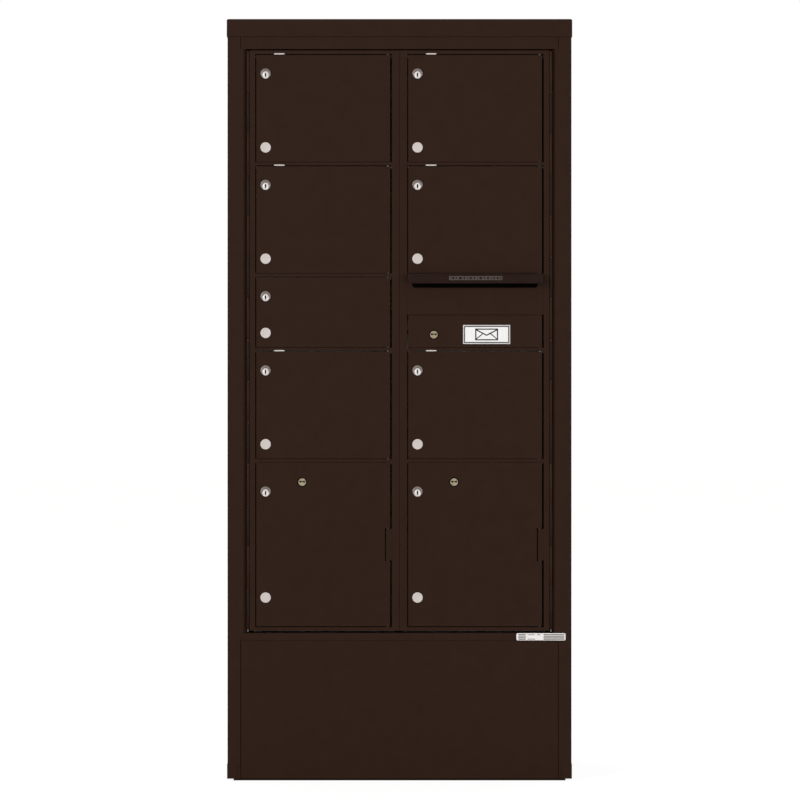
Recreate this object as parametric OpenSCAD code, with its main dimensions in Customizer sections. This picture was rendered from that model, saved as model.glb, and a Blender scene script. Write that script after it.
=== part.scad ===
// Cluster mailbox unit: a free-standing cabinet whose whole front is two
// master frames, hinged on the outer posts. Each frame carries a column of
// locked compartment doors on one long hinge rod.
// Millimetres, +Z up, the front faces -Y, the origin is on the floor midway.

/* [Columns] */
// Height of one compartment unit
unit = 88.9; // [85:0.1:95]
// Height of the lowest frame rail's middle above the floor
first_rail = 364; // [350:0.5:420]
// Height of the parcel compartment, rail to rail
parcel_h = 403; // [380:1:430]
// Width of a door window in a master frame
window_w = 327.2; // [310:0.1:340]
// Width between the two columns of windows
mullion_w = 36.8; // [34:0.1:44]
// Height of a rail between two windows
rail_w = 7.6; // [7:0.1:12]
// Width of a master frame's outer stile
stile_w = 13.4; // [12:0.1:18]
// Depth of a master frame, front to back
frame_d = 18; // [18:0.5:20]

/* [Cabinet] */
// Depth over the side panels
body_d = 466; // [460:1:560]
// Width of each front post's face
post_face = 38; // [34:1:50]
// How far each post folds in past its face
post_fold = 7; // [6:0.5:9]
// Visible height of the header rail under the cap
header_h = 30.1; // [24:0.1:40]
// Height of the sill rail under the doors
sill_h = 17.5; // [15:0.5:24]
// Height of the cap's skirt
cap_h = 42; // [36:1:60]
// How far the cap stands out past the body
cap_out = 2; // [1.5:0.5:5]
// Thickness of the outer sheets
sheet = 2; // [1.6:0.1:2.5]
// Thickness of the inner sheets
thin = 1.5; // [1:0.1:2]
// Thickness of the base plate
base_t = 5; // [4:0.5:8]
// Clear depth of a compartment behind the frames
comp_d = 380; // [360:1:380]

/* [Doors] */
// Thickness of a door's face
skin = 2.5; // [2:0.1:3]
// Depth of a door over its folded edges
door_d = 12; // [10:0.5:14]
// Gap beside a door on the lock side
lock_gap = 2.4; // [1.5:0.1:4]
// Gap beside a door on the hinge side
hinge_gap = 4.1; // [3:0.1:5]
// Gap above a tenant door
door_gap = 2.3; // [0.6:0.1:3]
// Gap above a parcel door and the mail door
tight_gap = 0.8; // [0.6:0.1:3]
// Gap below a door
door_rise = 1; // [0.6:0.1:2]
// Gap below a parcel door
parcel_rise = 2.2; // [0.6:0.1:3]
// Distance of the hinge rod from the window's hinge edge
rod_in = 10; // [9:0.5:12]
// Distance of the hinge rod behind the door's face
rod_back = 5; // [5:0.1:6]
// Height of the parcel door's middle hinge tab above the floor
tab_z = 565.5; // [520:1:620]
// Height of the middle hinge tab
tab_h = 76; // [50:1:100]

/* [Locks] */
// Radius of the tenant lock's ring
ring_r = 12.25; // [12:0.05:13]
// Radius of the tenant lock's plug
plug_r = 7; // [6:0.1:7]
// How far the plug sits below the ring's middle
plug_drop = 4; // [3:0.1:4]
// Distance of a tenant lock from the door's lock edge
lock_in = 22.4; // [20:0.1:26]
// Distance of a tenant lock below the door's top edge
lock_drop = 44.5; // [40:0.5:60]
// Distance of a parcel door's tenant lock below its top edge
parcel_lock_drop = 69.5; // [60:0.5:90]
// Length of a lock's cam from the plug's axis
cam_len = 34; // [32:0.5:34]
// Radius of the arrow lock's plug
arrow_r = 9.6; // [9:0.1:10]
// Distance of an arrow lock below its door's top edge
arrow_drop = 47; // [44:0.5:50]
// Distance of the parcel doors' arrow lock from the lock edge
arrow_in = 110; // [80:1:160]
// Distance of the mail door's arrow lock from the lock edge
mail_arrow_in = 61.5; // [60:0.5:120]
// Travel of an arrow lock's bolt
bolt_travel = 12; // [10:1:12]

/* [Mail slot] */
// Height of the mail door and its gaps above the rail below it
mail_h = 79; // [76:1:90]
// Width of the mail slot
slot_w = 300; // [260:1:300]
// Clear height of the slot under the hood
slot_h = 9.5; // [9:0.5:14]
// How far the hood stands out
hood_out = 22; // [16:1:26]

/* [Anchors] */
// Spacing of the floor anchor holes across the width
anchor_x = 600; // [400:10:640]
// Spacing of the floor anchor holes across the depth
anchor_y = 300; // [200:10:360]
// Radius of a floor anchor hole
anchor_r = 8; // [6:0.5:10]

/* [Hidden] */
$fn = 48;

bronze = [0.20, 0.15, 0.12];
bronze_dark = [0.16, 0.12, 0.10];
mill = [0.72, 0.72, 0.70];
steel = [0.60, 0.60, 0.60];
nickel = [0.55, 0.52, 0.50];
bright = [0.86, 0.83, 0.80];
brass = [0.66, 0.58, 0.40];

// Fit and small sizes
play = 0.05;        // running clearance on a radius
seam = 0.1;         // gap between two pieces screwed or riveted together
rod_r = 2;          // hinge rods and master pins
knuckle_r = 3.6;    // master hinge knuckles
hinge_w = 8;        // strip between a post and its master frame
leaf_t = 1.5;       // master hinge leaf
fold_t = 1.8;       // a door's folded edge
latch_r = 3.5;      // latch rods

// Heights: rail_z(0) is the lowest rail and rail_z(5) the highest
rail_units = [0, 3, 5, 8, 11];
function rail_z(i) = first_rail + (i == 0 ? 0 : parcel_h + unit * rail_units[i - 1]);
function win_lo(i) = rail_z(i) + rail_w / 2;
function win_hi(i) = rail_z(i + 1) - rail_w / 2;
base_rim = 30;
frame_lo = rail_z(0) - 4.8;
frame_hi = rail_z(5) + 4.8;
sill_hi = frame_lo - 5.5;
sill_lo = sill_hi - sill_h;
header_lo = frame_hi + 3.2;
cap_lo = header_lo + header_h;
height = cap_lo + cap_h;
slot_panel_lo = win_lo(2) + mail_h;
slot_lo = win_hi(2) - 26.4;

// Widths, from the middle outwards
function col_x(side) = side > 0 ? mullion_w / 2 : -mullion_w / 2 - window_w;
frame_out = mullion_w / 2 + window_w + stile_w;
inner_half = frame_out + hinge_w;
half_w = inner_half + post_fold + post_face;
kick_half = half_w - 32;
comp_out = 3.5;
wall_x = mullion_w / 2 - comp_out;

// Depths, from the front backwards
front = -body_d / 2;
face = front + 1;
frame_back = face + frame_d;
cam_y = frame_back + 2.5;
latch_y = frame_back + 11;
comp_front = frame_back + 24;
comp_back = comp_front + comp_d;

// Axes of the hinges
function rod_x(side) = col_x(side) + window_w - rod_in;
rod_y = face + rod_back;
function pin_x(side) = side * (inner_half - hinge_w / 2);
pin_y = front + knuckle_r + 0.2;
knuckles = 14;
knuckle_lo = frame_lo + 3;
knuckle_pitch = (frame_hi - 0.8 - knuckle_lo) / knuckles;

// Latch handle and its rods
handle_x = 18;
handle_z = win_lo(2) + 38.5;
crank_r = 12;
crank_rise = crank_r * sin(45);
latch_x = 7;
foot_t = 3;

// Doors: name, side (-1 left, +1 right) and the rail below the window
TENANTS = [["l1", -1, 4], ["l2", -1, 3], ["l3", -1, 2], ["l4", -1, 1],
           ["r1", 1, 4], ["r2", 1, 3], ["r3", 1, 1]];
PARCELS = [["parcel_l", -1, 0], ["parcel_r", 1, 0]];
MAIL = ["mail", 1, 2];
KEYED = concat(TENANTS, PARCELS);
DOORS = concat(KEYED, [MAIL]);
ARROWED = concat(PARCELS, [MAIL]);

function is_mail(d) = d[0] == "mail";
function is_parcel(d) = d[2] == 0;
function door_x0(d) = col_x(d[1]) + lock_gap;
function door_x1(d) = col_x(d[1]) + window_w - hinge_gap;
function door_z0(d) = win_lo(d[2]) + (is_parcel(d) ? parcel_rise : door_rise);
function door_z1(d) = (is_mail(d) ? slot_panel_lo : win_hi(d[2]))
    - (is_mail(d) || is_parcel(d) ? tight_gap : door_gap);
function lock_x(d) = door_x0(d) + lock_in;
function lock_z(d) = door_z1(d) - (is_parcel(d) ? parcel_lock_drop : lock_drop);
function arrow_x(d) = door_x0(d) + (is_mail(d) ? mail_arrow_in : arrow_in);
function arrow_z(d) = door_z1(d) - arrow_drop;

// A box between two opposite corners
module box(lo, hi) {
    translate(lo) cube(hi - lo);
}

// Children drawn along +Z, turned to run along +Y from a point
module along_y(x, y, z) {
    translate([x, y, z]) rotate([-90, 0, 0]) children();
}

// A round bar or hole along +Z
module upright(x, y, z0, z1, r) {
    translate([x, y, z0]) cylinder(r = r, h = z1 - z0);
}

// A rectangle with true arcs for corners, centred
module round_rect(w, d, r) {
    square([w - 2 * r, d], center = true);
    square([w, d - 2 * r], center = true);
    for (x = [-1, 1], y = [-1, 1])
        translate([x * (w / 2 - r), y * (d / 2 - r)]) circle(r = r);
}

// ---- Cabinet ----

// Side sheet folded into the front post and the rear edge; side is -1 or +1
module side_panel(side) {
    wall_in = half_w - sheet;
    flange_end = kick_half + 1;
    post = half_w - post_face;
    mirror([side < 0 ? 1 : 0, 0, 0]) color(bronze) {
        translate([0, 0, base_t]) linear_extrude(height - 5 - base_t)
            polygon([[half_w, front], [half_w, -front], [half_w - 23, -front],
                     [half_w - 23, -front - sheet], [wall_in, -front - sheet],
                     [wall_in, front + sheet], [flange_end, front + sheet], [flange_end, front]]);
        translate([0, 0, sill_lo]) linear_extrude(sill_hi + seam - sill_lo)
            polygon([[flange_end, front], [post, front], [post, front + sheet],
                     [flange_end, front + sheet]]);
        translate([0, 0, sill_hi + seam]) linear_extrude(header_lo - sill_hi - seam)
            polygon([[flange_end, front], [post, front], [inner_half, front + post_fold],
                     [inner_half, front + 33], [inner_half + sheet, front + 33],
                     [inner_half + sheet, front + post_fold + 0.8],
                     [post + 0.8, front + sheet], [flange_end, front + sheet]]);
    }
}

module back_panel() {
    color(bronze)
        box([-half_w + sheet + seam, -front - 2 * sheet, base_t],
            [half_w - sheet - seam, -front - sheet, height - 5]);
}

// Cap: a shallow lid with a chamfered top edge
module top_cap() {
    w = half_w + cap_out;
    d = -front + cap_out;
    edge = 3;
    color(bronze) difference() {
        intersection() {
            translate([0, 0, cap_lo]) linear_extrude(cap_h) round_rect(2 * w, 2 * d, 3);
            translate([0, d, 0]) rotate([90, 0, 0]) linear_extrude(2 * d)
                polygon([[-w, cap_lo], [w, cap_lo], [w, height - edge], [w - edge, height],
                         [edge - w, height], [-w, height - edge]]);
            translate([-w, 0, 0]) rotate([90, 0, 90]) linear_extrude(2 * w)
                polygon([[-d, cap_lo], [d, cap_lo], [d, height - edge], [d - edge, height],
                         [edge - d, height], [-d, height - edge]]);
        }
        box([-half_w - seam, front - seam, cap_lo - 1],
            [half_w + seam, -front + seam, height - sheet - 1]);
    }
}

// Header: front face behind the cap's skirt, and a shelf that keeps the latch rod
module header_rail() {
    color(bronze) difference() {
        union() {
            box([-kick_half, front, header_lo], [kick_half, front + sheet, height - 8]);
            box([-kick_half, front, header_lo], [kick_half, comp_front, header_lo + sheet]);
        }
        upright(latch_x, latch_y, header_lo - 1, header_lo + 5, latch_r + 1.5);
    }
}

module sill_rail() {
    x = inner_half - seam;
    post = half_w - post_face - seam;
    color(bronze) difference() {
        union() {
            box([-post, front, sill_lo], [post, front + sheet, sill_hi]);
            box([-x, front, sill_hi - sheet], [x, comp_front, sill_hi]);
        }
        upright(latch_x, latch_y, sill_hi - 5, sill_hi + 1, latch_r + 1.5);
    }
}

module kick_panel() {
    lo = base_t + 0.5;
    hi = sill_lo - 0.2;
    color(bronze) {
        box([-kick_half, face, lo], [kick_half, face + sheet, hi]);
        box([-kick_half, face, hi - sheet], [kick_half, face + 15, hi]);
        for (x = [-kick_half, kick_half - sheet])
            box([x, face, base_rim + 1], [x + sheet, face + 15, hi]);
    }
}

// Base plate with a turned-up rim and the floor anchor holes
module base_pan() {
    x = half_w - 14;
    y = -front - 7;
    color(bronze) difference() {
        box([-x, -y, 0], [x, y, base_rim]);
        box([sheet - x, sheet - y, base_t], [x - sheet, y - sheet, base_rim + 1]);
        for (i = [-1, 1], j = [-1, 1])
            upright(i * anchor_x / 2, j * anchor_y / 2, -1, base_t + 1, anchor_r);
    }
}

// Thin angle plates round the four bottom corners
module corner_shoes() {
    leg = 25;
    tall = 36;
    color(bronze) for (i = [0, 1], j = [0, 1]) mirror([i, 0, 0]) mirror([0, j, 0])
        difference() {
            box([half_w + 1 - leg, -front + 1 - leg, base_t], [half_w + 1, -front + 1, base_t + tall]);
            box([0, 0, base_t - 1], [half_w, -front, base_t + tall + 1]);
        }
}

// Upright walls of the compartments, which also carry them on the base plate
module compartment_walls() {
    color(mill) for (side = [-1, 1], x = [wall_x - thin, inner_half - hinge_w - stile_w + comp_out])
        mirror([side < 0 ? 1 : 0, 0, 0])
            box([x, comp_front, base_t], [x + thin, comp_back, rail_z(5) + thin / 2]);
}

// Floors of the compartments, each with a hem folded down at the front
module shelves() {
    hem = 8;
    color(mill) for (side = [-1, 1], i = [0:5]) {
        x0 = col_x(side) - comp_out;
        x1 = col_x(side) + window_w + comp_out;
        z = rail_z(i) - thin / 2;
        box([x0, comp_front, z], [x1, comp_back, z + thin]);
        box([x0, comp_front, z - hem], [x1, comp_front + thin, z + thin]);
    }
}

module module_back() {
    x = inner_half - hinge_w - stile_w + comp_out + thin;
    color(mill)
        box([-x, comp_back, rail_z(0) - thin / 2], [x, comp_back + thin, rail_z(5) + thin / 2]);
}

// ---- Master hinges ----

// Every second knuckle, from the first (0) or the second (1)
module knuckle_row(side, first) {
    for (i = [first:2:knuckles - 1]) {
        z = knuckle_lo + i * knuckle_pitch;
        upright(pin_x(side), pin_y, z + 0.3, z + knuckle_pitch - 0.3, knuckle_r);
        arm = first == 0 ? hinge_w / 2 - seam : -hinge_w / 2 - seam;
        x = pin_x(side) + side * arm;
        box([min(x, pin_x(side)), pin_y - 1, z + 0.3],
            [max(x, pin_x(side)), pin_y + 4.2, z + knuckle_pitch - 0.3]);
    }
}

// Hole for the master hinge pin
module pin_hole(side) {
    upright(pin_x(side), pin_y, frame_lo - 1, frame_hi + 1, rod_r + play);
}

// The cabinet's half of both continuous hinges
module master_hinge_leaves() {
    color(bronze_dark) for (side = [-1, 1]) difference() {
        union() {
            x0 = side * (inner_half - leaf_t);
            x1 = side * (inner_half - 0.02);
            box([min(x0, x1), front + post_fold, frame_lo], [max(x0, x1), front + 28, frame_hi]);
            knuckle_row(side, 0);
        }
        pin_hole(side);
    }
}

module master_hinge_pins() {
    color(steel) for (side = [-1, 1])
        upright(pin_x(side), pin_y, sill_hi + 3, frame_hi - 1.2, rod_r);
}

// ---- Master frames ----

// Hole for the tenants' hinge rod
module rod_hole(side) {
    upright(rod_x(side), rod_y, frame_lo - 1, frame_hi + 1, rod_r + play);
}

// Stiles, rails and the middle hinge tab of one master frame
module master_frame(side) {
    x0 = col_x(side);
    x1 = x0 + window_w;
    outer = side * frame_out;
    outer_in = side * (frame_out - stile_w);
    meet = side * 0.3;
    meet_in = side * mullion_w / 2;
    difference() {
        union() {
            box([min(outer, outer_in), face, frame_lo], [max(outer, outer_in), frame_back, frame_hi]);
            knuckle_row(side, 1);
        }
        pin_hole(side);
    }
    box([min(meet, meet_in), face, frame_lo], [max(meet, meet_in), frame_back, frame_hi]);
    difference() {
        for (i = [0:5]) {
            lo = i == 0 ? frame_lo : rail_z(i) - rail_w / 2;
            hi = i == 5 ? frame_hi : rail_z(i) + rail_w / 2;
            box([x0 + seam, face, lo], [x1 - seam, frame_back, hi]);
        }
        rod_hole(side);
    }
    difference() {
        box([rod_x(side) - 4, face, tab_z - tab_h / 2],
            [x1 - seam, frame_back, tab_z + tab_h / 2]);
        rod_hole(side);
    }
}

module frame_left() {
    color(bronze) master_frame(-1);
}

// The right frame also carries the latch rods' guides and the handle's pivot
module frame_right() {
    guides = [rail_z(4) - 140, rail_z(4) + 180, rail_z(3) - 80, rail_z(2) - 110, rail_z(1) - 160,
              rail_z(0) + 24];
    color(bronze) {
        master_frame(1);
        for (z = guides) difference() {
            box([latch_x - 6, frame_back + seam, z], [latch_x + 6, latch_y + 6, z + 10]);
            upright(latch_x, latch_y, z - 1, z + 11, latch_r + 2 * play);
        }
        box([handle_x - 6, frame_back + seam, handle_z - 6], [handle_x + 6, frame_back + 7, handle_z + 6]);
        along_y(handle_x, frame_back + 6, handle_z) cylinder(r = 3, h = 12);
    }
}

module tenant_rod(side) {
    color(steel) upright(rod_x(side), rod_y, frame_lo + 1, frame_hi - 1, rod_r);
}

// ---- Mail slot ----

module slot_panel() {
    x0 = col_x(1) + 2 * seam;
    x1 = col_x(1) + window_w - 2 * seam;
    z1 = win_hi(2) - seam;
    mid = (x0 + x1) / 2 - 1.3;
    r = 7;
    color(bronze) difference() {
        union() {
            box([x0, face, slot_panel_lo], [x1, face + sheet, z1]);
            box([x0, face, slot_panel_lo], [x1, face + door_d, slot_panel_lo + sheet]);
        }
        box([mid - slot_w / 2, face - 1, slot_lo + r], [mid + slot_w / 2, face + 5, z1 - 8]);
        box([mid - slot_w / 2 + r, face - 1, slot_lo], [mid + slot_w / 2 - r, face + 5, slot_lo + r + 1]);
        for (i = [-1, 1])
            along_y(mid + i * (slot_w / 2 - r), face - 1, slot_lo + r) cylinder(r = r, h = 6);
        upright(rod_x(1), rod_y, slot_panel_lo - 1, z1 + 1, rod_r + play);
    }
}

// Rain hood over the slot: a bent sheet with cheeks, and rounded lower corners
module slot_hood() {
    half = window_w / 2 - 1;
    mid = col_x(1) + window_w / 2;
    z1 = rail_z(3) + rail_w / 2 - 0.4;
    z0 = slot_lo + slot_h;
    f = face - hood_out;
    r = 12;
    outside = [[face, z1], [f + 5, z1 - 1], [f + 1.2, z1 - 3], [f, z1 - 7], [f, z0]];
    inside = [[f + sheet, z0], [f + sheet, z1 - 7.3], [f + 3, z1 - 4.6], [f + 6, z1 - 3.1],
              [face, z1 - 2.1]];
    color(bronze_dark) difference() {
        union() {
            translate([mid - half, 0, 0]) rotate([90, 0, 90]) linear_extrude(2 * half)
                polygon(concat(outside, inside));
            for (x = [mid - half, mid + half - sheet]) translate([x, 0, 0]) rotate([90, 0, 90])
                linear_extrude(sheet) polygon(concat(outside, [[face, z0]]));
        }
        for (i = [-1, 1]) difference() {
            x = mid + i * half;
            box([min(x, x - i * r) - 0.5, f - 1, z0 - 1], [max(x, x - i * r) + 0.5, face + 1, z0 + r]);
            along_y(x - i * r, f - 2, z0 + r) cylinder(r = r, h = hood_out + 4);
            box([min(x - i * r, x - i * (r + 1)), f - 2, z0 - 2],
                [max(x - i * r, x - i * (r + 1)), face + 2, z0 + r + 1]);
        }
    }
}

// ---- Latch of the right master frame ----

// Hub with two crank pins, and a lever with a finger knob; it hangs down when open
module latch_handle() {
    y0 = latch_y + 2.1;
    lever = 34;
    color(steel) difference() {
        union() {
            along_y(handle_x, y0, handle_z) cylinder(r = 15, h = foot_t);
            box([handle_x - 5, y0, handle_z - lever], [handle_x + 5, y0 + foot_t, handle_z]);
            along_y(handle_x, y0, handle_z - lever) cylinder(r = 5, h = foot_t);
            along_y(handle_x, frame_back + 1.5, handle_z - lever)
                cylinder(r = 5, h = y0 + 1 - frame_back - 1.5);
            for (i = [-1, 1])
                along_y(handle_x + i * crank_rise, latch_y - 3, handle_z - i * crank_rise)
                    cylinder(r = 2, h = 6);
        }
        along_y(handle_x, y0 - 1, handle_z) cylinder(r = 3 + play, h = 10);
    }
}

// Slot that a crank pin slides along; side is +1 right of the pivot, -1 left
module crank_slot(side) {
    a = handle_x + side * (crank_rise - 2.5);
    b = handle_x + side * (crank_r + 2.5);
    z = handle_z - side * crank_rise;
    box([min(a, b), latch_y - 10, z - 2.6], [max(a, b), latch_y + 10, z + 2.6]);
}

module latch_rod_upper() {
    y0 = latch_y - 1.5;
    foot_top = handle_z + 24;
    color(steel) difference() {
        union() {
            box([handle_x + 4, y0, handle_z - crank_rise - 5], [handle_x + 16.5, y0 + foot_t, foot_top]);
            box([latch_x - latch_r, y0, foot_top - 6], [handle_x + 16.5, y0 + foot_t, foot_top]);
            upright(latch_x, latch_y, foot_top - 0.5, frame_hi + 1.2, latch_r);
        }
        crank_slot(1);
    }
}

module latch_rod_lower() {
    y0 = latch_y - 1.5;
    foot_lo = handle_z - 20;
    color(steel) difference() {
        union() {
            box([handle_x - 16.5, y0, foot_lo], [handle_x - 4, y0 + foot_t, handle_z + crank_rise + 5]);
            upright(latch_x, latch_y, sill_hi + 2.5, foot_lo + 0.5, latch_r);
        }
        crank_slot(-1);
    }
}

// ---- Doors ----

// A folded pan on the column's hinge rod, with the holes for its locks
module door(d) {
    x0 = door_x0(d);
    x1 = door_x1(d);
    z0 = door_z0(d);
    z1 = door_z1(d);
    color(bronze) difference() {
        box([x0, face, z0], [x1, face + door_d, z1]);
        box([x0 + fold_t, face + skin, z0 + fold_t], [x1 - fold_t, face + door_d + 1, z1 - fold_t]);
        rod_hole(d[1]);
        if (!is_mail(d))
            along_y(lock_x(d), face - 1, lock_z(d)) cylinder(r = ring_r - 0.45, h = 5);
        if (is_mail(d) || is_parcel(d))
            along_y(arrow_x(d), face - 1, arrow_z(d)) cylinder(r = 12, h = 5);
        if (is_parcel(d))
            box([rod_x(d[1]) - 6.5, face - 1, tab_z - tab_h / 2 - 1.5],
                [x1 + 1, face + door_d + 1, tab_z + tab_h / 2 + 1.5]);
    }
}

// ---- Tenant locks ----

// Ring and threaded body, bored off centre for the plug
module lock_barrel(d) {
    x = lock_x(d);
    z = lock_z(d);
    body_r = ring_r - 0.55;
    color(nickel) difference() {
        union() {
            along_y(x, face - 2.6, z) cylinder(r1 = ring_r - 1.4, r2 = ring_r, h = 1.4);
            along_y(x, face - 1.2, z) cylinder(r = ring_r, h = 1.2);
            along_y(x, face, z) cylinder(r = body_r, h = frame_d + 1);
        }
        along_y(x, face - 4, z - plug_drop) cylinder(r = plug_r + play, h = frame_d + 8);
    }
}

// Plug with its key slot, cam and cam screw; the cam hangs down when unlocked
module lock_plug(d) {
    x = lock_x(d);
    z = lock_z(d) - plug_drop;
    cam_t = 2.5;
    cam_r = 5;
    color(bright) difference() {
        union() {
            along_y(x, face - 3.1, z) cylinder(r = plug_r, h = cam_y - face + 3.1 + 0.5);
            along_y(x, cam_y, z) cylinder(r = 7, h = cam_t);
            box([x - cam_r, cam_y, z - cam_len + cam_r], [x + cam_r, cam_y + cam_t, z]);
            along_y(x, cam_y, z - cam_len + cam_r) cylinder(r = cam_r, h = cam_t);
            along_y(x, cam_y + cam_t - 0.5, z) cylinder(r = 4, h = 2, $fn = 6);
        }
        box([x - 1.1, face - 4, z - 4.5], [x + 1.1, face + 1, z + 4.5]);
    }
}

// ---- Arrow locks ----

// Case behind the door, with a bore for the plug and a channel for the bolt
module arrow_case(d) {
    x = arrow_x(d);
    z = arrow_z(d);
    y0 = face + skin;
    y1 = frame_back + 8;
    slide = frame_back + 1;
    color(steel) difference() {
        box([x - 22, y0, z - 25], [x + 22, y1, z + 25]);
        along_y(x, y0 - 1, z) cylinder(r = arrow_r + play, h = slide - y0 + 1.5);
        box([x - 11.2, slide, z - 12.5], [x + 11.2, slide + 4.4, z + bolt_travel + 0.8]);
        box([x - 6.2, slide, z], [x + 6.2, slide + 4.4, z + 26]);
    }
}

// Brass plug with a keyway across it and the crank pin that lifts the bolt
module arrow_plug(d) {
    x = arrow_x(d);
    z = arrow_z(d);
    color(brass) difference() {
        union() {
            along_y(x, face + 0.4, z) cylinder(r = arrow_r, h = frame_d + 0.5);
            along_y(x, frame_back, z - bolt_travel / 2) cylinder(r = 1.5, h = 5);
        }
        box([x - 6, face - 1, z - 1.2], [x + 6, face + 5, z + 1.2]);
    }
}

// Bolt: a slotted foot on the crank pin and a bar up to the door's top edge
module arrow_bolt(d) {
    x = arrow_x(d);
    z = arrow_z(d);
    y0 = frame_back + 1.2;
    t = 4;
    foot = z - bolt_travel / 2;
    color(steel) difference() {
        union() {
            box([x - 11, y0, foot - 4.6], [x + 11, y0 + t, foot + 4.6]);
            box([x - 6, y0, foot], [x + 6, y0 + t, door_z1(d) - 1]);
        }
        box([x - 8, y0 - 1, foot - 2.9], [x + 8, y0 + t + 1, foot + 2.9]);
    }
}

side_panel(-1);  // side_panel_left
side_panel(1);  // side_panel_right
back_panel();
top_cap();
header_rail();
sill_rail();
kick_panel();
base_pan();
corner_shoes();
compartment_walls();
shelves();
module_back();
master_hinge_leaves();
master_hinge_pins();
frame_left();
frame_right();
tenant_rod(-1);  // tenant_rod_left
tenant_rod(1);  // tenant_rod_right
slot_panel();
slot_hood();
latch_handle();
latch_rod_upper();
latch_rod_lower();
for (d = DOORS) door(d);
for (d = KEYED) lock_barrel(d);
for (d = KEYED) lock_plug(d);
for (d = ARROWED) arrow_case(d);
for (d = ARROWED) arrow_plug(d);
for (d = ARROWED) arrow_bolt(d);
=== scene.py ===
"""Looks of the cluster mailbox unit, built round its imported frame.

Metres, +Z up, the front faces -Y and the floor is Z = 0. Every piece's place is
in its mesh, so each object stays at the origin.
"""
import math

import bpy
import numpy as np
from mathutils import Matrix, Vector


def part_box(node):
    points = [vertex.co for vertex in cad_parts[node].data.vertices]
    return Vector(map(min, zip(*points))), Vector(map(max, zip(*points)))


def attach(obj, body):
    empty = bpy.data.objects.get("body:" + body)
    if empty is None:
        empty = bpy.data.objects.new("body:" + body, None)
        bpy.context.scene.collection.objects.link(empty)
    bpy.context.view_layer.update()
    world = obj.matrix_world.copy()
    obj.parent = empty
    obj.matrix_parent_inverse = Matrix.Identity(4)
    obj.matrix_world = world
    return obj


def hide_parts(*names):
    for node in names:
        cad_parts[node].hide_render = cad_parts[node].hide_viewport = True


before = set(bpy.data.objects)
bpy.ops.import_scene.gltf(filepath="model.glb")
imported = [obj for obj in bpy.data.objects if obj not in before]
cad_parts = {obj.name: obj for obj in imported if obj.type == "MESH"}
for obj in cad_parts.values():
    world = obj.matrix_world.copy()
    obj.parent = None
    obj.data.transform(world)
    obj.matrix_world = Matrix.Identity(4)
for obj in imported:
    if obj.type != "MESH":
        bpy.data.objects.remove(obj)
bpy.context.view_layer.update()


# ---- Room ----
# A pale studio floor, a white backdrop, a large soft key from the upper left, a
# fill from the right and two lamps behind. The camera stands dead in front.

def lamp(name, place, aim, size, power):
    """A square soft lamp at a place, turned to look at a point."""
    light = bpy.data.lights.new(name, "AREA")
    light.energy = power
    light.size = size
    holder = bpy.data.objects.new(name, light)
    bpy.context.scene.collection.objects.link(holder)
    holder.location = place
    toward = Vector(aim) - Vector(place)
    holder.rotation_euler = toward.to_track_quat("-Z", "Y").to_euler()
    holder.visible_camera = False


middle = (0.0, 0.0, 0.9)
lamp("key", (-7.5, -8.0, 4.4), middle, 4.0, 500)
lamp("fill", (7.0, -8.0, 0.7), middle, 4.0, 400)
lamp("rear_left", (-4.0, 7.0, 4.0), middle, 3.0, 170)
lamp("rear_right", (5.0, 6.0, 3.0), middle, 3.0, 170)


def put(tree, kind, inputs=None, **settings):
    """Adds one shader node; an input takes a plain value or another node's socket."""
    node = tree.nodes.new("ShaderNode" + kind)
    for name, value in settings.items():
        setattr(node, name, value)
    for name, value in (inputs or {}).items():
        if isinstance(value, bpy.types.NodeSocket):
            tree.links.new(value, node.inputs[name])
        else:
            node.inputs[name].default_value = value
    return node


world = bpy.data.worlds.new("backdrop")
bpy.context.scene.world = world
world.use_nodes = True
sky = world.node_tree
sky.nodes.clear()
ray = put(sky, "LightPath").outputs
soft = put(sky, "Background", {"Color": (1.0, 0.98, 0.96, 1), "Strength": 0.60})
mirrored = put(sky, "Background", {"Color": (1.0, 0.98, 0.96, 1), "Strength": 0.25})
white = put(sky, "Background", {"Color": (1, 1, 1, 1), "Strength": 1.0})
backdrop = put(sky, "MixShader", {0: ray["Is Glossy Ray"], 1: soft.outputs[0],
                                  2: mirrored.outputs[0]})
backdrop = put(sky, "MixShader", {0: ray["Is Camera Ray"], 1: backdrop.outputs[0],
                                  2: white.outputs[0]})
put(sky, "OutputWorld", {"Surface": backdrop.outputs[0]})

floor_half = 30.0
floor_mesh = bpy.data.meshes.new("floor")
corners = np.array([(-1, -1, 0), (1, -1, 0), (1, 1, 0), (-1, 1, 0)]) * floor_half
floor_mesh.from_pydata(corners.tolist(), [], [(0, 1, 2, 3)])
floor = bpy.data.objects.new("floor", floor_mesh)
bpy.context.scene.collection.objects.link(floor)

pale = bpy.data.materials.new("pale_floor")
pale.use_nodes = True
tree = pale.node_tree
tree.nodes.clear()
seen = put(tree, "LightPath").outputs["Is Camera Ray"]
lit = put(tree, "BsdfDiffuse", {"Color": (0.50, 0.50, 0.50, 1)})
faint = put(tree, "BsdfDiffuse", {"Color": (0.15, 0.15, 0.15, 1)})
glow = put(tree, "Emission", {"Color": (1, 1, 1, 1), "Strength": 0.91})
bright = put(tree, "AddShader", {0: faint.outputs[0], 1: glow.outputs[0]})
surface = put(tree, "MixShader", {0: seen, 1: lit.outputs[0], 2: bright.outputs[0]})
put(tree, "OutputMaterial", {"Surface": surface.outputs[0]})
floor_mesh.materials.append(pale)

camera_data = bpy.data.cameras.new("camera")
camera_data.lens = 135
camera_data.sensor_width = 36
camera = bpy.data.objects.new("camera", camera_data)
bpy.context.scene.collection.objects.link(camera)
camera.location = (0.0012, -7.420, 0.9122)
camera.rotation_euler = (math.radians(90), 0, 0)
bpy.context.scene.camera = camera
bpy.context.scene.view_settings.view_transform = "Standard"


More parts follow.
